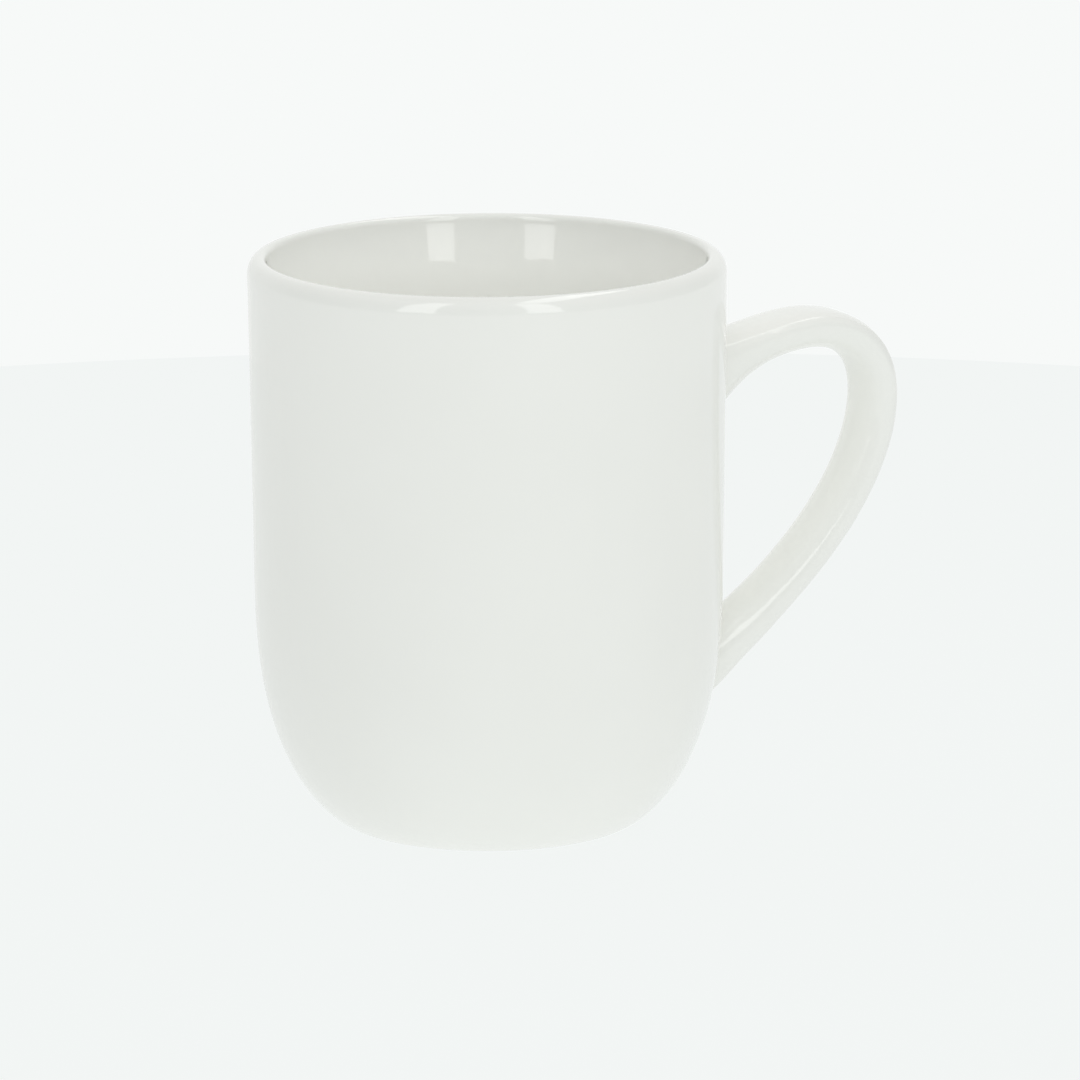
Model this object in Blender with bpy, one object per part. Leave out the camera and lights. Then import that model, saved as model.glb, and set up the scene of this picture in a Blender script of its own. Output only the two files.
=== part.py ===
"""Glazed ceramic mug: a cast cup, a separately cast strap handle, and the two slip joints that hold it.

Metres, +Z up. The cup's axis is the Z axis, its foot stands on Z = 0, and the handle lies along +X
with Y = 0 as its mirror plane.
"""
import math

import bmesh
import bpy
import numpy as np

# --- Cup -----------------------------------------------------------------------------------------
MUG_HEIGHT = 0.1000
RIM_RADIUS = 0.0415
WALL_TAPER = 0.012  # the straight side narrows by this much radius for each unit of drop
LIP_THICKNESS = 0.0032
LIP_OUTSIDE_DROP = 0.0030  # the lip rounds over further down on its outside than on its inside
LIP_INSIDE_DROP = 0.0012
LIP_INSIDE_REACH = 0.0010
FLARE_START = 0.0900  # above this height the inside opens out, so the wall thins to the lip
FLARE_SLOPE = 0.165
FLARE_SOFTNESS = 0.0015
BOWL_HEIGHT = 0.0445  # below this height the outside curves in to the foot
FOOT_RADIUS = 0.0246
FOOT_RING_WIDTH = 0.0028
RECESS_DEPTH = 0.0008
RECESS_SLOPE_WIDTH = 0.0008
HOLLOW_HEIGHT = 0.0440  # below this height the inside curves in to the floor
FLOOR_HEIGHT = 0.0050
FLOOR_RADIUS = 0.0195
CURVE_DROP_POWER = 2.7  # superellipse powers of both curves, up and across
CURVE_REACH_POWER = 1.5

# --- Handle --------------------------------------------------------------------------------------
# The strap's widest line starts inside the wall and turns through two bends: a tight one over the
# crown, and a gentle one that is spread along the whole of it. Places are distances along the line.
ROUTE_START = (0.0218, 0.0654)
ROUTE_LENGTH = 0.1460
START_HEADING = math.radians(38.5)
TIGHT_BEND = math.radians(75.5)
TIGHT_BEND_PLACE = 0.0537
TIGHT_BEND_SPREAD = 0.0048
GENTLE_BEND = math.radians(109)
GENTLE_BEND_PLACE = 0.0612
GENTLE_BEND_SPREAD = 0.0185
ROUTE_STEPS = 2000
OUTER_THICKNESS = 0.0025  # the strap's thickness on the route's outer side, where its face is flatter
INNER_THICKNESS = 0.0043  # and on the side that the fingers go round
OUTER_ROUNDNESS = 2.8  # superellipse powers of the two halves of the strap's section
INNER_ROUNDNESS = 2.0
STRAP_HALF_WIDTH_TOP = 0.0070
STRAP_HALF_WIDTH_BOTTOM = 0.0055
UPPER_SPREAD = 0.0058  # extra thickness on each side of the strap's top end, inside the wall
UPPER_SPREAD_REACH = 0.0034  # it is half as much at the wall, and dies away outside over this distance
LOWER_SPREAD = 0.0028
LOWER_SPREAD_REACH = 0.0062
SPREAD_SPLIT_HEIGHT = 0.0500  # above this the upper spread applies, below it the lower one

# --- Slip joints ---------------------------------------------------------------------------------
PIECE_GAP = 0.0003
SLIP_PAD_THICKNESS = 0.0010
SLIP_BEAD_WIDTH = 0.0022
SLIP_BEAD_HEIGHT = 0.0026
SLIP_TOE_THICKNESS = 0.0003
SLIP_CREST_WIDTH = 0.0003

# --- Mesh fineness -------------------------------------------------------------------------------
CUP_SEGMENTS = 72
BOWL_STEPS = 12
WALL_STEPS = 3
FLARE_STEPS = 6
LIP_STEPS = 4
STRAP_SIDES = 24
STRAP_RINGS = 40
BEAD_STEPS = 4
END_FACE_RINGS = 3
BISECTION_STEPS = 40

# --- Colours: linear red, green, blue ------------------------------------------------------------
WHITE_GLAZE = (0.80, 0.81, 0.78)
SLIP_UNDER_GLAZE = (0.78, 0.77, 0.72)
GLAZE_ROUGHNESS = 0.08


# --- Cup shape -----------------------------------------------------------------------------------
def turned_radius(height, rim, base, base_height, curve_top):
    """Radius of a tapered side that curves in to a flat base: a superellipse below curve_top."""
    side = rim - WALL_TAPER * (MUG_HEIGHT - height)
    side_at_base = rim - WALL_TAPER * (MUG_HEIGHT - base_height)
    drop = min(max((curve_top - height) / (curve_top - base_height), 0.0), 1.0)
    reach = (1.0 - drop**CURVE_DROP_POWER) ** (1.0 / CURVE_REACH_POWER)
    return side - (side_at_base - base) * (1.0 - reach)


def outer_radius(height):
    """Radius of the cup's outside, from the foot to just under the lip."""
    return turned_radius(height, RIM_RADIUS, FOOT_RADIUS, 0.0, BOWL_HEIGHT)


def soft_ramp(rise):
    """Zero well below the flare's start and equal to the rise well above it."""
    return 0.5 * (rise + math.hypot(rise, FLARE_SOFTNESS))


def inner_radius(height):
    """Radius of the cup's inside, from the floor to just under the lip."""
    whole_flare = FLARE_SLOPE * soft_ramp(MUG_HEIGHT - FLARE_START)
    flare = FLARE_SLOPE * soft_ramp(height - FLARE_START)
    rim = RIM_RADIUS - LIP_THICKNESS - whole_flare
    return turned_radius(height, rim, FLOOR_RADIUS, FLOOR_HEIGHT, HOLLOW_HEIGHT) + flare


def wall_stretch(height):
    """Level distance off the outside wall for one unit of distance square to it."""
    step = 0.0005
    rise = (outer_radius(height + step) - outer_radius(height - step)) / (2.0 * step)
    return math.hypot(1.0, rise)


def curve_heights(start, top):
    """Heights up a bowl's curve, closest together at the bottom, where it turns fastest."""
    turns = [0.5 * math.pi * step / BOWL_STEPS for step in range(BOWL_STEPS + 1)]
    return [top - (top - start) * math.cos(turn) ** (2.0 / CURVE_DROP_POWER) for turn in turns]


def even_heights(bottom, top, steps):
    """Evenly spaced heights up a side, without the bottom one."""
    return [bottom + (top - bottom) * step / steps for step in range(1, steps + 1)]


def lip_points(inside_top, outside_top):
    """The lip's section: a quarter ellipse up from the inside, and a longer one down to the outside."""
    crown = inner_radius(inside_top) + LIP_INSIDE_REACH
    outside_reach = outer_radius(outside_top) - crown
    turns = [0.5 * math.pi * step / LIP_STEPS for step in range(LIP_STEPS + 1)]
    points = []
    for turn in turns[1:]:
        radius = crown - LIP_INSIDE_REACH * math.cos(turn)
        points.append((radius, inside_top + LIP_INSIDE_DROP * math.sin(turn)))
    for turn in turns[-2:0:-1]:
        radius = crown + outside_reach * math.cos(turn)
        points.append((radius, outside_top + LIP_OUTSIDE_DROP * math.sin(turn)))
    return points


def cup_profile():
    """The cup's half section as (radius, height), up the inside, over the lip, down to the recess."""
    inside_top = MUG_HEIGHT - LIP_INSIDE_DROP
    outside_top = MUG_HEIGHT - LIP_OUTSIDE_DROP
    flare_bottom = FLARE_START - 2.0 * FLARE_SOFTNESS
    inside = curve_heights(FLOOR_HEIGHT, HOLLOW_HEIGHT)
    inside += even_heights(HOLLOW_HEIGHT, flare_bottom, WALL_STEPS)
    inside += even_heights(flare_bottom, inside_top, FLARE_STEPS)
    outside = curve_heights(0.0, BOWL_HEIGHT)
    outside += even_heights(BOWL_HEIGHT, outside_top, WALL_STEPS)

    points = [(0.0, FLOOR_HEIGHT)]
    points += [(inner_radius(height), height) for height in inside]
    points += lip_points(inside_top, outside_top)
    points += [(outer_radius(height), height) for height in reversed(outside)]
    ring_inside = FOOT_RADIUS - FOOT_RING_WIDTH
    points.append((ring_inside, 0.0))
    points.append((ring_inside - RECESS_SLOPE_WIDTH, RECESS_DEPTH))
    points.append((0.0, RECESS_DEPTH))
    return points


# --- Handle shape --------------------------------------------------------------------------------
def make_route():
    """Points down the strap's widest line, evenly spaced, worked out from its two bends."""
    step = ROUTE_LENGTH / ROUTE_STEPS
    place = (np.arange(ROUTE_STEPS) + 0.5) * step
    tight = TIGHT_BEND / (1.0 + np.exp((TIGHT_BEND_PLACE - place) / TIGHT_BEND_SPREAD))
    gentle = GENTLE_BEND / (1.0 + np.exp((GENTLE_BEND_PLACE - place) / GENTLE_BEND_SPREAD))
    heading = START_HEADING - tight - gentle
    x = ROUTE_START[0] + np.concatenate([[0.0], np.cumsum(np.cos(heading))]) * step
    z = ROUTE_START[1] + np.concatenate([[0.0], np.cumsum(np.sin(heading))]) * step
    return x, z


ROUTE_X, ROUTE_Z = make_route()


def route_point(travel):
    """The route's (x, z) at a travel of 0 at its start to 1 at its end."""
    place = travel * ROUTE_STEPS
    steps = np.arange(ROUTE_STEPS + 1)
    return np.array([np.interp(place, steps, ROUTE_X), np.interp(place, steps, ROUTE_Z)])


def root_spread(middle):
    """Extra thickness of the strap, which spreads where it runs into the wall."""
    from_wall = middle[0] - RIM_RADIUS
    if middle[1] > SPREAD_SPLIT_HEIGHT:
        return UPPER_SPREAD / (1.0 + math.exp(from_wall / UPPER_SPREAD_REACH))
    return LOWER_SPREAD / (1.0 + math.exp(from_wall / LOWER_SPREAD_REACH))


def rounded(value, roundness):
    """A sine or cosine turned into the matching superellipse coordinate."""
    return math.copysign(abs(value) ** (2.0 / roundness), value)


def strap_point(travel, turn, outset):
    """A point on the strap's surface, or outset from it, at a turn round its section."""
    step = 0.001
    middle = route_point(travel)
    along = route_point(min(travel + step, 1.0)) - route_point(max(travel - step, 0.0))
    along /= np.linalg.norm(along)
    if math.cos(turn) > 0.0:
        thickness, roundness = OUTER_THICKNESS, OUTER_ROUNDNESS
    else:
        thickness, roundness = INNER_THICKNESS, INNER_ROUNDNESS
    half_width = STRAP_HALF_WIDTH_TOP + (STRAP_HALF_WIDTH_BOTTOM - STRAP_HALF_WIDTH_TOP) * travel
    across = (thickness + root_spread(middle) + outset) * rounded(math.cos(turn), roundness)
    x = middle[0] - along[1] * across
    z = middle[1] + along[0] * across
    y = (half_width + outset) * rounded(math.sin(turn), roundness)
    return np.array([x, y, z])


def clearance(point):
    """How far a point is outside the cup's wall, square to it."""
    return (math.hypot(point[0], point[1]) - outer_radius(point[2])) / wall_stretch(point[2])


def travel_at_wall(turn, outset, distance, upper):
    """The travel at which the strap's surface line stands the stated distance off the wall."""
    inside, outside = (0.0, 0.5) if upper else (1.0, 0.5)
    for _ in range(BISECTION_STEPS):
        middle = 0.5 * (inside + outside)
        if clearance(strap_point(middle, turn, outset)) < distance:
            inside = middle
        else:
            outside = middle
    return 0.5 * (inside + outside)


def section_turns():
    return [2.0 * math.pi * side / STRAP_SIDES for side in range(STRAP_SIDES)]


def root_ring(outset, distance, upper):
    """The outline in which the strap, outset, meets a surface at the stated distance off the wall."""
    return [
        strap_point(travel_at_wall(turn, outset, distance, upper), turn, outset) for turn in section_turns()
    ]


def shrunk_ring(ring, share, distance):
    """A ring drawn in towards its middle over a surface at the stated distance off the wall."""
    turns = [math.atan2(point[1], point[0]) for point in ring]
    middle_height = sum(point[2] for point in ring) / len(ring)
    points = []
    for point, turn in zip(ring, turns):
        height = middle_height + share * (point[2] - middle_height)
        radius = outer_radius(height) + distance * wall_stretch(height)
        points.append((radius * math.cos(share * turn), radius * math.sin(share * turn), height))
    return points


def end_face(ring, distance):
    """Rings, and a last single point, that close a ring over a surface parallel to the wall."""
    shares = [1.0 - step / (END_FACE_RINGS + 1) for step in range(1, END_FACE_RINGS + 1)]
    rings = [shrunk_ring(ring, share, distance) for share in shares]
    centre = shrunk_ring(ring, 0.0, distance)[:1]
    return rings + [centre]


# --- Mesh building -------------------------------------------------------------------------------
def glaze(name, colour):
    material = bpy.data.materials.new(name)
    material.use_nodes = True
    shader = material.node_tree.nodes["Principled BSDF"]
    shader.inputs["Base Color"].default_value = (*colour, 1.0)
    shader.inputs["Roughness"].default_value = GLAZE_ROUGHNESS
    shader.inputs["Metallic"].default_value = 0.0
    return material


def add_object(name, shape, material):
    """Makes a smooth-shaded object from a bmesh and frees the bmesh."""
    bmesh.ops.recalc_face_normals(shape, faces=shape.faces)
    mesh = bpy.data.meshes.new(name)
    shape.to_mesh(mesh)
    shape.free()
    mesh.shade_smooth()
    mesh.set_sharp_from_angle(angle=math.radians(40))
    mesh.materials.append(material)
    piece = bpy.data.objects.new(name, mesh)
    bpy.context.scene.collection.objects.link(piece)
    return piece


def loft(rings):
    """A closed bmesh through rings of points; a ring of one point closes an end."""
    shape = bmesh.new()
    levels = [[shape.verts.new(point) for point in ring] for ring in rings]
    for near, far in zip(levels, levels[1:]):
        count = max(len(near), len(far))
        for side in range(count):
            after = (side + 1) % count
            corners = [near[side % len(near)], near[after % len(near)]]
            corners += [far[after % len(far)], far[side % len(far)]]
            shape.faces.new(list(dict.fromkeys(corners)))
    return shape


def make_cup():
    """The cup, turned about the Z axis with its foot ring, in one cast piece."""
    rings = []
    for radius, height in cup_profile():
        if radius < PIECE_GAP:
            rings.append([(0.0, 0.0, height)])
            continue
        turns = [2.0 * math.pi * segment / CUP_SEGMENTS for segment in range(CUP_SEGMENTS)]
        rings.append([(radius * math.cos(turn), radius * math.sin(turn), height) for turn in turns])
    return add_object("cup_body", loft(rings), glaze("cup_glaze", WHITE_GLAZE))


def make_handle():
    """The strap handle, cut at both ends to the curve of the wall."""
    distance = 2.0 * PIECE_GAP + SLIP_PAD_THICKNESS
    turns = section_turns()
    starts = [travel_at_wall(turn, 0.0, distance, True) for turn in turns]
    ends = [travel_at_wall(turn, 0.0, distance, False) for turn in turns]
    rings = []
    for ring in range(STRAP_RINGS + 1):
        share = 0.5 - 0.5 * math.cos(math.pi * ring / STRAP_RINGS)
        travels = [start + share * (end - start) for start, end in zip(starts, ends)]
        rings.append([strap_point(travel, turn, 0.0) for travel, turn in zip(travels, turns)])
    upper_face = list(reversed(end_face(rings[0], distance)))
    lower_face = end_face(rings[-1], distance)
    return add_object("handle", loft(upper_face + rings + lower_face), glaze("handle_glaze", WHITE_GLAZE))


def make_slip(name, upper):
    """A slip joint: a pad between the wall and the strap's end, and a bead that fills the corner."""
    wall_side = root_ring(SLIP_BEAD_WIDTH, PIECE_GAP, upper)
    rings = list(reversed(end_face(wall_side, PIECE_GAP))) + [wall_side]
    toe_height = PIECE_GAP + SLIP_TOE_THICKNESS
    crest_outset = PIECE_GAP + SLIP_CREST_WIDTH
    for step in range(BEAD_STEPS + 1):
        turn = 0.5 * math.pi * step / BEAD_STEPS
        outset = SLIP_BEAD_WIDTH - (SLIP_BEAD_WIDTH - crest_outset) * math.sin(turn)
        distance = SLIP_BEAD_HEIGHT - (SLIP_BEAD_HEIGHT - toe_height) * math.cos(turn)
        rings.append(root_ring(outset, distance, upper))
    pad_top = PIECE_GAP + SLIP_PAD_THICKNESS
    rings.append(root_ring(PIECE_GAP, SLIP_BEAD_HEIGHT, upper))
    strap_side = root_ring(PIECE_GAP, pad_top, upper)
    rings.append(strap_side)
    rings += end_face(strap_side, pad_top)
    return add_object(name, loft(rings), glaze(name + "_glaze", SLIP_UNDER_GLAZE))


def main():
    for piece in list(bpy.data.objects):
        bpy.data.objects.remove(piece, do_unlink=True)
    make_cup()
    make_handle()
    make_slip("upper_luting_slip", True)
    make_slip("lower_luting_slip", False)


main()
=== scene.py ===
"""Looks of the glazed ceramic mug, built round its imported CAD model.

Metres, +Z up. The cup's axis is the Z axis, its foot stands on Z = 0, and the handle lies along +X.
"""
import math

import bpy
import numpy as np
from mathutils import Matrix, Vector


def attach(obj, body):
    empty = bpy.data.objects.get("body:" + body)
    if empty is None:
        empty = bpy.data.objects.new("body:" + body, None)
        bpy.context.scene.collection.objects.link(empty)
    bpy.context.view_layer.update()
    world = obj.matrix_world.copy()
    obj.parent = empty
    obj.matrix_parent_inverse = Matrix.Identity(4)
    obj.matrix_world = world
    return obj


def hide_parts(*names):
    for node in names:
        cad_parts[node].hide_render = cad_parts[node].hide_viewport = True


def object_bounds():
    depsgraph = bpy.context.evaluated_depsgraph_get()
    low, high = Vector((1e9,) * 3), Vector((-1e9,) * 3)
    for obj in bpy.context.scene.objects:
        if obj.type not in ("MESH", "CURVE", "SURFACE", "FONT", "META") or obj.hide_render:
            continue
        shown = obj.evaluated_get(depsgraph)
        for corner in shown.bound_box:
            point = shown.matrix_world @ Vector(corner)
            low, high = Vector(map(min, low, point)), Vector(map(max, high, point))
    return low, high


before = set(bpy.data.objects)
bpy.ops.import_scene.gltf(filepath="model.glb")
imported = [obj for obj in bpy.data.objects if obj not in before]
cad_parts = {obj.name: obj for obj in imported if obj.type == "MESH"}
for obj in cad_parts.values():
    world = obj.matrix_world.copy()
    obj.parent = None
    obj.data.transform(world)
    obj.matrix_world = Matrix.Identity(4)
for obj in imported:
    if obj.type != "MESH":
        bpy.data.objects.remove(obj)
cad_low, cad_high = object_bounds()

# --- Cup: the CAD's own driving values ---------------------------------------------------------------
MUG_HEIGHT = cad_high.z
RIM_RADIUS = 0.0415
WALL_TAPER = 0.012  # the straight side narrows by this much radius for each unit of drop
BOWL_HEIGHT = 0.0445  # below this height the outside curves in to the foot
FOOT_RADIUS = 0.0246
FOOT_RING_WIDTH = 0.0028
RECESS_DEPTH = 0.0008
RECESS_SLOPE_WIDTH = 0.0008
HOLLOW_HEIGHT = 0.0440  # below this height the inside curves in to the floor
FLOOR_HEIGHT = 0.0050
FLOOR_RADIUS = 0.0195
CURVE_DROP_POWER = 2.7  # superellipse powers of both curves, up and across
CURVE_REACH_POWER = 1.5
LIP_THICKNESS = 0.0032
LIP_OUTSIDE_DROP = 0.0030  # the lip rounds over further on its outside than on its inside
LIP_INSIDE_DROP = 0.0012
LIP_INSIDE_REACH = 0.0010
FLARE_START = 0.0900  # above this height the inside opens out to the lip
FLARE_SOFTNESS = 0.0015
FLARE_SLOPE = 0.165

# --- Handle: the CAD's own driving values ------------------------------------------------------------
# The strap's widest line starts inside the wall and turns through two bends: a tight one over the
# crown, and a gentle one that is spread along the whole of it. Places are distances along the line.
ROUTE_START = (0.0218, 0.0654)
ROUTE_LENGTH = 0.1460
START_HEADING = math.radians(38.5)
TIGHT_BEND = math.radians(75.5)
TIGHT_BEND_PLACE = 0.0537
TIGHT_BEND_SPREAD = 0.0048
GENTLE_BEND = math.radians(109)
GENTLE_BEND_PLACE = 0.0612
GENTLE_BEND_SPREAD = 0.0185
ROUTE_STEPS = 2000
OUTER_THICKNESS = 0.0025  # the strap's thickness on the route's outer side, where its face is flatter
INNER_THICKNESS = 0.0043
OUTER_ROUNDNESS = 2.8
INNER_ROUNDNESS = 2.0
STRAP_HALF_WIDTH_TOP = 0.0070
STRAP_HALF_WIDTH_BOTTOM = 0.0055
UPPER_SPREAD = 0.0058
UPPER_SPREAD_REACH = 0.0034
LOWER_SPREAD = 0.0028
LOWER_SPREAD_REACH = 0.0062
SPREAD_SPLIT_HEIGHT = 0.0500

# --- Detail that only the looks have -----------------------------------------------------------------
STRAP_END_DEPTH = 0.0015  # the strap's ends are buried this far in the wall
RIDGE_HEIGHT = 0.00012  # a fettled seam runs along both outer corners of the strap
RIDGE_TURN = math.radians(52)
RIDGE_SPREAD = math.radians(7)
LUMP_HEIGHT = 0.00012  # hand-smoothed unevenness where the strap was luted on
LUMP_REACH = 0.0045
LUMP_REST = 0.12  # the share of the lumps that is left far from the wall
CUP_WAVE = 0.00003
SLIP_WALL_REACH = 0.0013
SLIP_STRAP_REACH = 0.0020
SLIP_SINK = 0.00004
SLIP_BODY_DEPTH = 0.0006
CLAY_RING_INSET = 0.00025
CLAY_RING_HEIGHT = 0.0007
CLAY_RING_CORNER = 0.35  # power of the ring's section: under 1 is a rounded rectangle
GLAZE_EDGE_LIFT = 0.00018  # the glaze stops this far above the table, at the bare ring
GLAZE_EDGE_ROUND = 0.0001
FLOOR_SHARES = (0.25, 0.5, 0.75, 0.9)  # rings across the floor, as shares of its radius
RECESS_SHARES = (0.95, 0.7, 0.4)  # and across the recess, as shares of the same radius
FOOT_CURVE_SKIP = 3  # the lowest heights of the outer curve, left out where the glaze edge takes over

# --- Mesh fineness -----------------------------------------------------------------------------------
CUP_SEGMENTS = 288
BOWL_STEPS = 40
WALL_STEPS = 30
LIP_STEPS = 14
STRAP_SIDES = 144
STRAP_RINGS = 220
SLIP_STEPS = 10
CLAY_RING_STEPS = 32
TABLE_SEGMENTS = 256
BISECTION_STEPS = 34

# --- Camera ------------------------------------------------------------------------------------------
CAMERA_DISTANCE = 1.5
CAMERA_TURN = math.radians(-23)
CAMERA_RISE = math.radians(12.57)
CAMERA_ROLL = math.radians(-0.27)
CAMERA_LENS = 287.5
AIM_RIGHT = 0.00896
AIM_DOWN = 0.0006


# --- Cup shape ---------------------------------------------------------------------------------------
def turned_radius(height, rim, base, base_height, curve_top):
    """Radius of a tapered side that curves in to a flat base: a superellipse below curve_top."""
    side = rim - WALL_TAPER * (MUG_HEIGHT - height)
    side_at_base = rim - WALL_TAPER * (MUG_HEIGHT - base_height)
    drop = np.clip((curve_top - height) / (curve_top - base_height), 0.0, 1.0)
    reach = (1.0 - drop**CURVE_DROP_POWER) ** (1.0 / CURVE_REACH_POWER)
    return side - (side_at_base - base) * (1.0 - reach)


def outer_radius(height):
    return turned_radius(height, RIM_RADIUS, FOOT_RADIUS, 0.0, BOWL_HEIGHT)


def soft_ramp(rise):
    """Zero well below the flare's start and equal to the rise well above it."""
    return 0.5 * (rise + np.hypot(rise, FLARE_SOFTNESS))


def inner_radius(height):
    full = FLARE_SLOPE * soft_ramp(MUG_HEIGHT - FLARE_START)
    flare = FLARE_SLOPE * soft_ramp(height - FLARE_START)
    rim = RIM_RADIUS - LIP_THICKNESS - full
    return turned_radius(height, rim, FLOOR_RADIUS, FLOOR_HEIGHT, HOLLOW_HEIGHT) + flare


def wall_stretch(height):
    """Level distance off the outside wall for one unit of distance square to it."""
    step = 0.0005
    rise = (outer_radius(height + step) - outer_radius(height - step)) / (2.0 * step)
    return np.hypot(1.0, rise)


def curve_heights(start, top):
    """Heights up a bowl's curve, closest together at the bottom, where it turns fastest."""
    turns = np.linspace(0.0, 0.5 * math.pi, BOWL_STEPS + 1)
    return top - (top - start) * np.cos(turns) ** (2.0 / CURVE_DROP_POWER)


def cup_profile():
    """The cup's half section as (radius, height), up the inside, over the lip, down to the recess."""
    inside_top = MUG_HEIGHT - LIP_INSIDE_DROP
    outside_top = MUG_HEIGHT - LIP_OUTSIDE_DROP
    inside = np.concatenate([
        curve_heights(FLOOR_HEIGHT, HOLLOW_HEIGHT),
        np.linspace(HOLLOW_HEIGHT, inside_top, WALL_STEPS + 1)[1:],
    ])
    outside = np.concatenate([
        curve_heights(0.0, BOWL_HEIGHT),
        np.linspace(BOWL_HEIGHT, outside_top, WALL_STEPS + 1)[1:],
    ])
    points = [(0.0, FLOOR_HEIGHT)]
    points += [(FLOOR_RADIUS * share, FLOOR_HEIGHT) for share in FLOOR_SHARES]
    points += [(float(inner_radius(height)), height) for height in inside]
    crown = float(inner_radius(inside_top)) + LIP_INSIDE_REACH
    outside_reach = float(outer_radius(outside_top)) - crown
    for step in range(1, LIP_STEPS + 1):
        turn = 0.5 * math.pi * step / LIP_STEPS
        radius = crown - LIP_INSIDE_REACH * math.cos(turn)
        points.append((radius, inside_top + LIP_INSIDE_DROP * math.sin(turn)))
    for step in range(1, LIP_STEPS):
        turn = 0.5 * math.pi * (1.0 - step / LIP_STEPS)
        radius = crown + outside_reach * math.cos(turn)
        points.append((radius, outside_top + LIP_OUTSIDE_DROP * math.sin(turn)))
    points += [(float(outer_radius(height)), height) for height in reversed(outside[FOOT_CURVE_SKIP:])]
    ring_outside = FOOT_RADIUS - CLAY_RING_INSET
    ring_inside = FOOT_RADIUS - FOOT_RING_WIDTH
    points.append((ring_outside + GLAZE_EDGE_ROUND, GLAZE_EDGE_LIFT * 0.6))
    points.append((ring_outside - GLAZE_EDGE_ROUND, GLAZE_EDGE_LIFT))
    points.append((ring_inside + CLAY_RING_INSET, GLAZE_EDGE_LIFT))
    points.append((ring_inside, GLAZE_EDGE_LIFT * 1.4))
    points.append((ring_inside - RECESS_SLOPE_WIDTH * 0.5, 0.5 * RECESS_DEPTH + GLAZE_EDGE_ROUND))
    points.append((ring_inside - RECESS_SLOPE_WIDTH, RECESS_DEPTH))
    points += [(FLOOR_RADIUS * share, RECESS_DEPTH) for share in RECESS_SHARES]
    points.append((0.0, RECESS_DEPTH))
    return points


# --- Handle shape ------------------------------------------------------------------------------------
def make_route():
    """Points down the strap's widest line, evenly spaced, worked out from its two bends."""
    step = ROUTE_LENGTH / ROUTE_STEPS
    place = (np.arange(ROUTE_STEPS) + 0.5) * step
    tight = TIGHT_BEND / (1.0 + np.exp((TIGHT_BEND_PLACE - place) / TIGHT_BEND_SPREAD))
    gentle = GENTLE_BEND / (1.0 + np.exp((GENTLE_BEND_PLACE - place) / GENTLE_BEND_SPREAD))
    heading = START_HEADING - tight - gentle
    x = ROUTE_START[0] + np.concatenate([[0.0], np.cumsum(np.cos(heading))]) * step
    z = ROUTE_START[1] + np.concatenate([[0.0], np.cumsum(np.sin(heading))]) * step
    return x, z


ROUTE_X, ROUTE_Z = make_route()


def route_point(travel):
    """The strap's middle (x, z) at travels of 0 at the route's start to 1 at its end."""
    place = travel * ROUTE_STEPS
    steps = np.arange(ROUTE_STEPS + 1)
    return np.stack([np.interp(place, steps, ROUTE_X), np.interp(place, steps, ROUTE_Z)], axis=1)


def root_spread(middle):
    """Extra thickness of the strap, which spreads where it runs into the wall."""
    from_wall = middle[:, 0] - RIM_RADIUS
    upper = middle[:, 1] > SPREAD_SPLIT_HEIGHT
    spread = np.where(upper, UPPER_SPREAD, LOWER_SPREAD)
    reach = np.where(upper, UPPER_SPREAD_REACH, LOWER_SPREAD_REACH)
    return spread / (1.0 + np.exp(from_wall / reach))


def rounded(value, roundness):
    """A sine or cosine turned into the matching superellipse coordinate."""
    return np.sign(value) * np.abs(value) ** (2.0 / roundness)


def strap_unevenness(middle, travel, turn):
    """Outset of the seam ridge, and of the lumps left by smoothing the joint by hand."""
    around = np.abs(np.arctan2(np.sin(turn), np.cos(turn)))
    ridge = RIDGE_HEIGHT * np.exp(-(((around - RIDGE_TURN) / RIDGE_SPREAD) ** 2))
    from_wall = np.maximum(middle[:, 0] - RIM_RADIUS, 0.0)
    near = np.exp(-from_wall / LUMP_REACH)
    lumps = np.sin(2.0 * turn + 70.0 * travel) + 0.5 * np.sin(3.0 * turn - 110.0 * travel + 1.3)
    return ridge + LUMP_HEIGHT * (LUMP_REST + near) * lumps / 1.5


def strap_point(travel, turn, outset):
    """Points on the strap's surface, or outset from it, at turns round its section."""
    step = 0.001
    middle = route_point(travel)
    along = route_point(travel + step) - route_point(travel - step)
    along /= np.linalg.norm(along, axis=1)[:, None]
    proud = outset + strap_unevenness(middle, travel, turn)
    half_width = STRAP_HALF_WIDTH_TOP + (STRAP_HALF_WIDTH_BOTTOM - STRAP_HALF_WIDTH_TOP) * travel
    outer = np.cos(turn) > 0.0
    thickness = np.where(outer, OUTER_THICKNESS, INNER_THICKNESS) + root_spread(middle)
    roundness = np.where(outer, OUTER_ROUNDNESS, INNER_ROUNDNESS)
    across = (thickness + proud) * rounded(np.cos(turn), roundness)
    x = middle[:, 0] - along[:, 1] * across
    z = middle[:, 1] + along[:, 0] * across
    y = (half_width + proud) * rounded(np.sin(turn), roundness)
    return np.stack([x, y, z], axis=1)


def clearance(points):
    """How far points are outside the cup's wall, square to it."""
    return (np.hypot(points[:, 0], points[:, 1]) - outer_radius(points[:, 2])) / wall_stretch(points[:, 2])


def travel_at_wall(turns, outset, distance, upper):
    """Travels at which the strap's surface lines stand the stated distance off the wall."""
    inside = np.full(len(turns), 0.0 if upper else 1.0)
    outside = np.full(len(turns), 0.5)
    for _ in range(BISECTION_STEPS):
        middle = 0.5 * (inside + outside)
        within = clearance(strap_point(middle, turns, outset)) < distance
        inside = np.where(within, middle, inside)
        outside = np.where(within, outside, middle)
    return 0.5 * (inside + outside)


def wall_ring(turns, outset, distance, upper):
    return strap_point(travel_at_wall(turns, outset, distance, upper), turns, outset)


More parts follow.
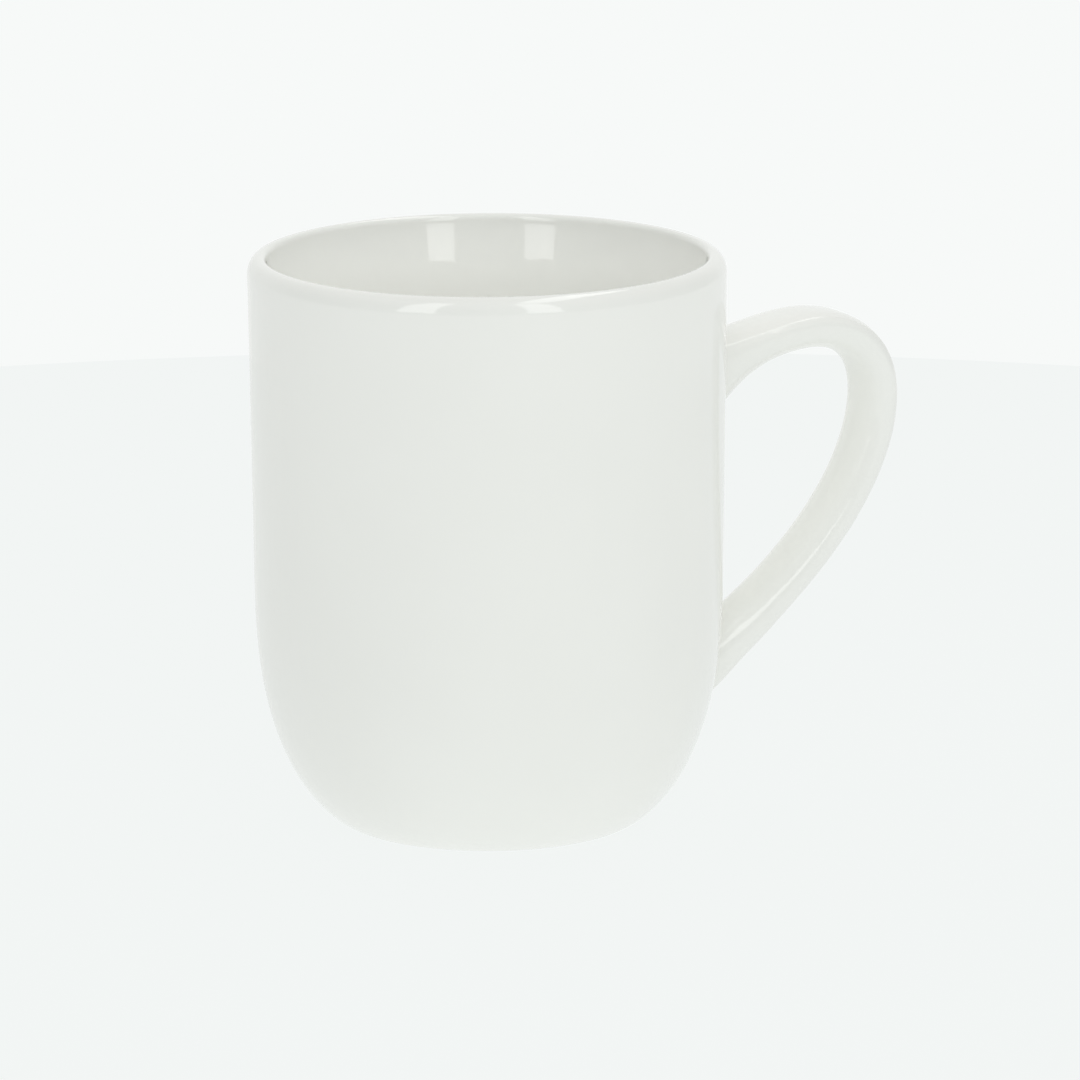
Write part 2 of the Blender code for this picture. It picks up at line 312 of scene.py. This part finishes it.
# --- Mesh building -----------------------------------------------------------------------------------
def add_piece(name, rings, material, closed_ends):
    """A piece lofted through rings of points. It ends in two middle points, or joins up as a loop."""
    count = len(rings[0])
    points = [tuple(point) for ring in rings for point in ring]
    faces = []
    levels = len(rings)
    for level in range(levels if not closed_ends else levels - 1):
        near = level * count
        far = ((level + 1) % levels) * count
        for side in range(count):
            after = (side + 1) % count
            faces.append((near + side, near + after, far + after, far + side))
    if closed_ends:
        for level in (0, levels - 1):
            points.append(tuple(np.mean(rings[level], axis=0)))
            middle = len(points) - 1
            start = level * count
            faces += [(start + side, start + (side + 1) % count, middle) for side in range(count)]
    mesh = bpy.data.meshes.new(name)
    mesh.from_pydata(points, [], faces)
    mesh.validate()
    piece = bpy.data.objects.new(name, mesh)
    bpy.context.scene.collection.objects.link(piece)
    bpy.context.view_layer.objects.active = piece
    bpy.ops.object.mode_set(mode="EDIT")
    bpy.ops.mesh.select_all(action="SELECT")
    bpy.ops.mesh.normals_make_consistent(inside=False)
    bpy.ops.object.mode_set(mode="OBJECT")
    mesh.shade_smooth()
    mesh.materials.append(material)
    return piece


def turned_rings(profile, segments):
    """Rings of points about the Z axis, out of round by the faint wave of a turned and fired wall."""
    turns = np.linspace(0.0, 2.0 * math.pi, segments, endpoint=False)
    rings = []
    for radius, height in profile:
        wave = CUP_WAVE * (np.sin(3.0 * turns + 25.0 * height) + np.sin(5.0 * turns - 70.0 * height + 2.0))
        reach = radius + wave * min(1.0, radius / RIM_RADIUS)
        level = np.full(segments, height)
        rings.append(np.stack([reach * np.cos(turns), reach * np.sin(turns), level], axis=1))
    return rings


def make_cup(material):
    profile = cup_profile()[1:-1]
    cup = add_piece("cup", turned_rings(profile, CUP_SEGMENTS), material, True)
    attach(cup, "root")
    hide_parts("cup_body")
    return cup


def make_foot_ring(material):
    """The wiped ring of bare clay that the mug stands on, just proud of the glaze on both its sides."""
    outside = FOOT_RADIUS - CLAY_RING_INSET
    inside = FOOT_RADIUS - FOOT_RING_WIDTH + CLAY_RING_INSET
    middle = 0.5 * (outside + inside)
    half_width = 0.5 * (outside - inside)
    half_height = 0.5 * CLAY_RING_HEIGHT
    profile = []
    for turn in np.linspace(0.0, 2.0 * math.pi, CLAY_RING_STEPS, endpoint=False):
        across = math.copysign(abs(math.cos(turn)) ** CLAY_RING_CORNER, math.cos(turn))
        up = math.copysign(abs(math.sin(turn)) ** CLAY_RING_CORNER, math.sin(turn))
        profile.append((middle + half_width * across, half_height * (1.0 + up)))
    ring = add_piece("bare_foot_ring", turned_rings(profile, CUP_SEGMENTS), material, False)
    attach(ring, "root")
    return ring


def make_handle(material):
    turns = np.linspace(0.0, 2.0 * math.pi, STRAP_SIDES, endpoint=False)
    starts = travel_at_wall(turns, 0.0, -STRAP_END_DEPTH, True)
    ends = travel_at_wall(turns, 0.0, -STRAP_END_DEPTH, False)
    rings = []
    for share in 0.5 - 0.5 * np.cos(np.linspace(0.0, math.pi, STRAP_RINGS + 1)):
        rings.append(strap_point(starts + share * (ends - starts), turns, 0.0))
    handle = add_piece("strap_handle", rings, material, True)
    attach(handle, "root")
    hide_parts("handle")
    return handle


def make_slip(name, node, upper, material):
    """The joining slip: a fillet that runs off the wall on to the strap, with its body inside both."""
    turns = np.linspace(0.0, 2.0 * math.pi, STRAP_SIDES, endpoint=False)
    uneven = 1.0 + 0.10 * np.sin(2.0 * turns + 0.7) + 0.05 * np.sin(3.0 * turns + 2.1)
    wall_reach = SLIP_WALL_REACH * uneven
    strap_reach = SLIP_STRAP_REACH * uneven[::-1]
    toe = wall_ring(turns, wall_reach, -SLIP_SINK, upper)
    corner = wall_ring(turns, 0.0, 0.0, upper)
    crest = wall_ring(turns, -SLIP_SINK, strap_reach, upper)
    rings = []
    for share in np.linspace(0.0, 1.0, SLIP_STEPS + 1):
        rings.append((1 - share) ** 2 * toe + 2 * share * (1 - share) * corner + share**2 * crest)
    rings.append(wall_ring(turns, -SLIP_BODY_DEPTH, strap_reach, upper))
    rings.append(wall_ring(turns, -SLIP_BODY_DEPTH, -SLIP_BODY_DEPTH, upper))
    rings.append(wall_ring(turns, wall_reach, -SLIP_BODY_DEPTH, upper))
    slip = add_piece(name, rings, material, False)
    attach(slip, "root")
    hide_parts(node)
    return slip


# --- Materials: linear red, green, blue, and texture scales per metre --------------------------------
WHITE_LIGHT = (0.948, 0.950, 0.916)
WHITE_SHADE = (0.936, 0.938, 0.903)
CREAMY_LIGHT = (0.93, 0.92, 0.86)
CREAMY_SHADE = (0.90, 0.89, 0.82)
IRON_SPECK = (0.45, 0.38, 0.28)
SANDY_DARK = (0.56, 0.51, 0.44)
SANDY_LIGHT = (0.74, 0.70, 0.62)
RUBBED_GREY = (0.47, 0.45, 0.42)
GLAZE_ROUGHNESS = 0.045
CLAY_ROUGHNESS = 0.85
DRIFT_SCALE = 38.0
SPECK_SCALE = 130.0
SPECK_SIZE = 0.03  # a speck's radius as a share of a cell
SPECK_RARITY = 0.90  # this share of the cells holds no speck
RIPPLE_SCALE = 160.0
RIPPLE_HEIGHT = 0.000004
GRAIN_SCALE = 2400.0
GRAIN_HEIGHT = 0.00008
RUB_SCALE = 160.0
RUB_SHARE = 0.5


def new_material(name, roughness):
    material = bpy.data.materials.new(name)
    material.use_nodes = True
    shader = material.node_tree.nodes["Principled BSDF"]
    shader.inputs["Roughness"].default_value = roughness
    shader.inputs["IOR"].default_value = 1.5
    return material, material.node_tree.nodes, material.node_tree.links, shader


def add_noise(nodes, links, where, scale, detail):
    noise = nodes.new("ShaderNodeTexNoise")
    noise.inputs["Scale"].default_value = scale
    noise.inputs["Detail"].default_value = detail
    links.new(where, noise.inputs["Vector"])
    return noise.outputs["Fac"]


def add_ramp(nodes, links, value, stops):
    """A colour ramp of (position, colour) stops."""
    ramp = nodes.new("ShaderNodeValToRGB")
    for index, (position, colour) in enumerate(stops):
        if index < 2:
            stop = ramp.color_ramp.elements[index]
            stop.position = position
        else:
            stop = ramp.color_ramp.elements.new(position)
        stop.color = (*colour, 1.0)
    links.new(value, ramp.inputs["Fac"])
    return ramp.outputs["Color"]


def add_map_range(nodes, links, value, start, end):
    """A smooth 0 to 1 as the value goes from start to end."""
    share = nodes.new("ShaderNodeMapRange")
    share.interpolation_type = "SMOOTHSTEP"
    share.inputs["From Min"].default_value = start
    share.inputs["From Max"].default_value = end
    links.new(value, share.inputs["Value"])
    return share.outputs["Result"]


def add_mix(nodes, links, share, first, second):
    mix = nodes.new("ShaderNodeMix")
    mix.data_type = "RGBA"
    links.new(share, mix.inputs["Factor"])
    for value, socket in ((first, mix.inputs["A"]), (second, mix.inputs["B"])):
        if isinstance(value, tuple):
            socket.default_value = (*value, 1.0)
        else:
            links.new(value, socket)
    return mix.outputs["Result"]


def make_glaze(name, light, shade, speck):
    """Glossy glaze: slow drifts of colour, a few iron specks, and the faint ripple of a melted surface."""
    material, nodes, links, shader = new_material(name, GLAZE_ROUGHNESS)
    where = nodes.new("ShaderNodeTexCoord").outputs["Object"]
    drift = add_noise(nodes, links, where, DRIFT_SCALE, 3.0)
    colour = add_ramp(nodes, links, drift, [(0.35, shade), (0.65, light)])
    cells = nodes.new("ShaderNodeTexVoronoi")
    cells.inputs["Scale"].default_value = SPECK_SCALE
    links.new(where, cells.inputs["Vector"])
    close = nodes.new("ShaderNodeMath")
    close.operation = "LESS_THAN"
    close.inputs[1].default_value = SPECK_SIZE
    links.new(cells.outputs["Distance"], close.inputs[0])
    chosen = nodes.new("ShaderNodeSeparateColor")
    links.new(cells.outputs["Color"], chosen.inputs["Color"])
    rare = nodes.new("ShaderNodeMath")
    rare.operation = "GREATER_THAN"
    rare.inputs[1].default_value = SPECK_RARITY
    links.new(chosen.outputs["Red"], rare.inputs[0])
    both = nodes.new("ShaderNodeMath")
    both.operation = "MULTIPLY"
    links.new(close.outputs[0], both.inputs[0])
    links.new(rare.outputs[0], both.inputs[1])
    links.new(add_mix(nodes, links, both.outputs[0], colour, speck), shader.inputs["Base Color"])
    ripple = add_noise(nodes, links, where, RIPPLE_SCALE, 1.0)
    bump = nodes.new("ShaderNodeBump")
    bump.inputs["Strength"].default_value = 1.0
    bump.inputs["Distance"].default_value = RIPPLE_HEIGHT
    links.new(ripple, bump.inputs["Height"])
    links.new(bump.outputs["Normal"], shader.inputs["Normal"])
    return material


def make_bare_clay():
    """Fired clay with no glaze: matt, sandy, and rubbed grey where it stands on tables."""
    material, nodes, links, shader = new_material("bare_clay", CLAY_ROUGHNESS)
    where = nodes.new("ShaderNodeTexCoord").outputs["Object"]
    grain = add_noise(nodes, links, where, GRAIN_SCALE, 4.0)
    colour = add_ramp(nodes, links, grain, [(0.3, SANDY_DARK), (0.7, SANDY_LIGHT)])
    rubbed = add_noise(nodes, links, where, RUB_SCALE, 2.0)
    rub = nodes.new("ShaderNodeMath")
    rub.operation = "MULTIPLY"
    rub.inputs[1].default_value = RUB_SHARE
    links.new(rubbed, rub.inputs[0])
    links.new(add_mix(nodes, links, rub.outputs[0], colour, RUBBED_GREY), shader.inputs["Base Color"])
    bump = nodes.new("ShaderNodeBump")
    bump.inputs["Strength"].default_value = 0.8
    bump.inputs["Distance"].default_value = GRAIN_HEIGHT
    links.new(grain, bump.inputs["Height"])
    links.new(bump.outputs["Normal"], shader.inputs["Normal"])
    return material


# --- Stage -------------------------------------------------------------------------------------------
TABLE_RADIUS = 0.414
TABLE_THICKNESS = 0.006
TABLE_GLOW = 0.83
UNDERGLOW = 0.02  # the backlit table is this much brighter seen from the mug than at a low angle
UNDERGLOW_RADIUS = 0.25
UNDERGLOW_LIFT = 0.0001
TENT_TURN = math.radians(10)  # the tent's darker sides lie this far round from the camera's sides
BACK_GLOW = (0.930, 0.948, 0.939)  # also the glow all round below the horizon
TENT_GLOW = (  # position from the tent's front, 0, to its back, 1, and its colour there
    (0.05, (0.47, 0.485, 0.48)),
    (0.45, (0.34, 0.35, 0.345)),
    (0.80, (0.50, 0.515, 0.51)),
    (0.975, BACK_GLOW),
)
LOW_START = 0.0  # height on a unit sphere below which the tent is evenly bright
LOW_END = -0.10
TOP_GLOW = (0.94, 0.94, 0.93)
TOP_LEAN = math.radians(4)  # the tent's bright top leans this far from overhead, roughly towards the handle
TOP_START = 0.30  # how far up the leaning axis of a unit sphere that patch begins
TOP_END = 0.90
FILL_TURN = math.radians(13)  # the fill light's turn from the camera's direction, and its rise
FILL_RISE = math.radians(25)
FILL_DISTANCE = 1.2
FILL_SIZE = 0.8
FILL_GLOW = 0.98
FILL_TINT = (0.96, 1.0, 1.0)
HOLLOW_GLOW = 0.28  # light let into the mug from right over it, clear of the lip
HOLLOW_GLOW_RADIUS = 0.030
HOLLOW_GLOW_LIFT = 0.001
PANEL_GLOW = 2.4
PANELS = (  # turn from the camera's direction, distance from the cup's axis, width
    (math.radians(-31), 0.25, 0.075),
    (math.radians(26), 0.29, 0.080),
)
PANEL_BOTTOM = 0.115
PANEL_TOP = 0.60
STRIP_WIDTH = 0.20
STRIP_LENGTH = 1.0
STRIP_HEIGHT = 0.90
STRIP_BACK = 0.18  # how far behind the mug the middle of the strip hangs
STRIP_RIGHT = 0.25  # and how far to the camera's right of it
STRIP_GLOW = 2.6


def make_camera():
    right = Vector((math.cos(CAMERA_TURN), math.sin(CAMERA_TURN), 0.0))
    back = Vector((
        math.sin(CAMERA_TURN) * math.cos(CAMERA_RISE),
        -math.cos(CAMERA_TURN) * math.cos(CAMERA_RISE),
        math.sin(CAMERA_RISE),
    ))
    up = back.cross(right)
    middle = Vector((0.0, 0.0, 0.5 * MUG_HEIGHT))
    place = middle + back * CAMERA_DISTANCE
    aim = middle + right * AIM_RIGHT - up * AIM_DOWN
    away = (place - aim).normalized()
    level = Vector((0.0, 0.0, 1.0)).cross(away).normalized()
    turn = Matrix((level, away.cross(level), away)).transposed() @ Matrix.Rotation(CAMERA_ROLL, 3, "Z")
    lens = bpy.data.cameras.new("camera")
    lens.lens = CAMERA_LENS
    lens.sensor_width = 36.0
    lens.clip_start = 0.1
    lens.clip_end = 20.0
    camera = bpy.data.objects.new("camera", lens)
    camera.matrix_world = Matrix.Translation(place) @ turn.to_4x4()
    bpy.context.scene.collection.objects.link(camera)
    bpy.context.scene.camera = camera


def make_turntable():
    """A round pale turntable of backlit acrylic."""
    profile = [(TABLE_RADIUS, 0.0), (TABLE_RADIUS, -TABLE_THICKNESS)]
    material, nodes, links, shader = new_material("pale_acrylic", 0.25)
    shader.inputs["Base Color"].default_value = (0.10, 0.10, 0.10, 1.0)
    shader.inputs["Specular IOR Level"].default_value = 0.0
    shader.inputs["Emission Color"].default_value = (0.97, 1.0, 0.99, 1.0)
    shader.inputs["Emission Strength"].default_value = TABLE_GLOW
    turns = np.linspace(0.0, 2.0 * math.pi, TABLE_SEGMENTS, endpoint=False)
    rings = [
        np.stack([radius * np.cos(turns), radius * np.sin(turns), np.full(TABLE_SEGMENTS, height)], axis=1)
        for radius, height in profile
    ]
    table = add_piece("turntable", rings, material, True)
    table.data.set_sharp_from_angle(angle=math.radians(40))


def make_world():
    """A white light tent: bright overhead and behind the mug, and darker round its sides and front."""
    world = bpy.data.worlds.new("white_tent")
    bpy.context.scene.world = world
    world.use_nodes = True
    nodes, links = world.node_tree.nodes, world.node_tree.links
    nodes.clear()
    where = nodes.new("ShaderNodeTexCoord").outputs["Generated"]
    turned = nodes.new("ShaderNodeVectorRotate")
    turned.rotation_type = "Z_AXIS"
    turned.inputs["Angle"].default_value = -(CAMERA_TURN + TENT_TURN)
    links.new(where, turned.inputs["Vector"])
    split = nodes.new("ShaderNodeSeparateXYZ")
    links.new(turned.outputs["Vector"], split.inputs["Vector"])
    depth = add_map_range(nodes, links, split.outputs["Y"], -1.0, 1.0)
    up = nodes.new("ShaderNodeVectorMath")
    up.operation = "DOT_PRODUCT"
    up.inputs[1].default_value = (math.sin(TOP_LEAN), 0.0, math.cos(TOP_LEAN))
    links.new(turned.outputs["Vector"], up.inputs[0])
    top = add_map_range(nodes, links, up.outputs["Value"], TOP_START, TOP_END)
    low = add_map_range(nodes, links, split.outputs["Z"], LOW_START, LOW_END)
    sides = add_mix(nodes, links, low, add_ramp(nodes, links, depth, TENT_GLOW), BACK_GLOW)
    background = nodes.new("ShaderNodeBackground")
    links.new(add_mix(nodes, links, top, sides, TOP_GLOW), background.inputs["Color"])
    output = nodes.new("ShaderNodeOutputWorld")
    links.new(background.outputs["Background"], output.inputs["Surface"])


def make_disk_light(name, radius, glow, height, facing_up):
    """A level round light that the camera and the glaze don't show."""
    lamp = bpy.data.lights.new(name, "AREA")
    lamp.shape = "DISK"
    lamp.size = 2.0 * radius
    lamp.energy = glow * math.pi * math.pi * radius**2
    light = bpy.data.objects.new(name, lamp)
    light.location = (0.0, 0.0, height)
    light.rotation_euler = (math.pi if facing_up else 0.0, 0.0, 0.0)
    light.visible_camera = False
    light.visible_glossy = False
    bpy.context.scene.collection.objects.link(light)


def make_fill():
    """A big soft light from beside the camera, hidden from it and from the glaze's reflections."""
    lamp = bpy.data.lights.new("soft_fill", "AREA")
    lamp.shape = "SQUARE"
    lamp.size = FILL_SIZE
    lamp.energy = FILL_GLOW * math.pi * FILL_SIZE**2
    lamp.color = FILL_TINT
    fill = bpy.data.objects.new("soft_fill", lamp)
    heading = CAMERA_TURN + FILL_TURN
    level = math.cos(FILL_RISE)
    towards = Vector((math.sin(heading) * level, -math.cos(heading) * level, math.sin(FILL_RISE)))
    fill.location = towards * FILL_DISTANCE + Vector((0.0, 0.0, 0.5 * MUG_HEIGHT))
    fill.rotation_euler = towards.to_track_quat("Z", "Y").to_euler()
    fill.visible_camera = False
    fill.visible_glossy = False
    bpy.context.scene.collection.objects.link(fill)


def make_panels():
    """Two tall lights, one on each side of the camera, that show only as reflections in the glaze."""
    for index, (turn, distance, width) in enumerate(PANELS):
        heading = CAMERA_TURN + turn
        height = PANEL_TOP - PANEL_BOTTOM
        lamp = bpy.data.lights.new(f"soft_light_{index + 1}", "AREA")
        lamp.shape = "RECTANGLE"
        lamp.size = width
        lamp.size_y = height
        lamp.energy = PANEL_GLOW * math.pi * width * height
        panel = bpy.data.objects.new(lamp.name, lamp)
        place = Vector((math.sin(heading), -math.cos(heading), 0.0)) * distance
        place.z = 0.5 * (PANEL_TOP + PANEL_BOTTOM)
        panel.location = place
        facing = Vector((-place.x, -place.y, 0.0))
        panel.rotation_euler = facing.to_track_quat("-Z", "Y").to_euler()
        panel.visible_camera = False
        panel.visible_diffuse = False
        bpy.context.scene.collection.objects.link(panel)


def make_strip():
    """A long overhead light, from front to back, that shows only as reflections, such as on the strap."""
    lamp = bpy.data.lights.new("strip_light", "AREA")
    lamp.shape = "RECTANGLE"
    lamp.size = STRIP_WIDTH
    lamp.size_y = STRIP_LENGTH
    lamp.energy = STRIP_GLOW * math.pi * STRIP_WIDTH * STRIP_LENGTH
    strip = bpy.data.objects.new("strip_light", lamp)
    right = Vector((math.cos(CAMERA_TURN), math.sin(CAMERA_TURN), 0.0))
    away = Vector((-math.sin(CAMERA_TURN), math.cos(CAMERA_TURN), 0.0))
    strip.location = right * STRIP_RIGHT + away * STRIP_BACK + Vector((0.0, 0.0, STRIP_HEIGHT))
    strip.rotation_euler = (0.0, 0.0, CAMERA_TURN)
    strip.visible_camera = False
    strip.visible_diffuse = False
    bpy.context.scene.collection.objects.link(strip)


# --- Making ------------------------------------------------------------------------------------------
make_camera()
white = make_glaze("white_glaze", WHITE_LIGHT, WHITE_SHADE, IRON_SPECK)
creamy = make_glaze("glazed_slip", CREAMY_LIGHT, CREAMY_SHADE, IRON_SPECK)
make_cup(white)
make_foot_ring(make_bare_clay())
make_handle(white)
make_slip("upper_slip_fillet", "upper_luting_slip", True, creamy)
make_slip("lower_slip_fillet", "lower_luting_slip", False, creamy)
make_turntable()
make_world()
make_disk_light("underglow", UNDERGLOW_RADIUS, UNDERGLOW, UNDERGLOW_LIFT, True)
make_disk_light("hollow_glow", HOLLOW_GLOW_RADIUS, HOLLOW_GLOW, MUG_HEIGHT + HOLLOW_GLOW_LIFT, False)
make_fill()
make_panels()
make_strip()
bpy.context.scene.view_settings.view_transform = "Standard"
